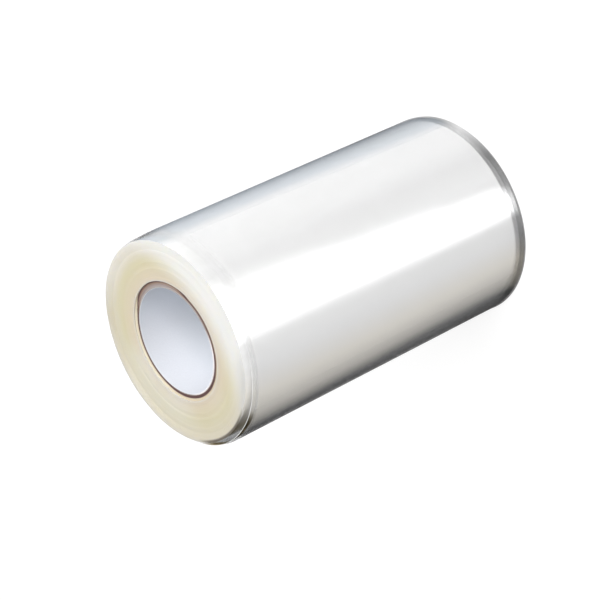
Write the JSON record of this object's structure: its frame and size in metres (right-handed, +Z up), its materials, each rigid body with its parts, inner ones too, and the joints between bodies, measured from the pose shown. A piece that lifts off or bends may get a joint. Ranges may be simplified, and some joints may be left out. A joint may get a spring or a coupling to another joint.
{
  "type": "roll of cake collar film",
  "caption": "Roll of clear glossy cake collar film wound on a white-lined kraft paperboard core, with its outer turns loose and slipped out as a clear lip.",
  "frame": {"origin": "on the ground under the roll, on the axis of the core", "axes": "+Z up along the core's axis, towards the end whose core is flush; the loose turns' lip is at the bottom; -Y is the side that the picture shows"},
  "size_m": [0.0597, 0.0595, 0.1034],
  "materials": {
    "film": "clear glossy plastic film, milky cream where many turns lie together at the ends, silvery white on the side",
    "kraft": "brown kraft paperboard, cut fibre edge",
    "liner": "smooth white paper"
  },
  "bodies": {
    "root": {"film_roll": "film", "core_tube": "kraft", "core_liner": "liner"}
  },
  "joints": []
}
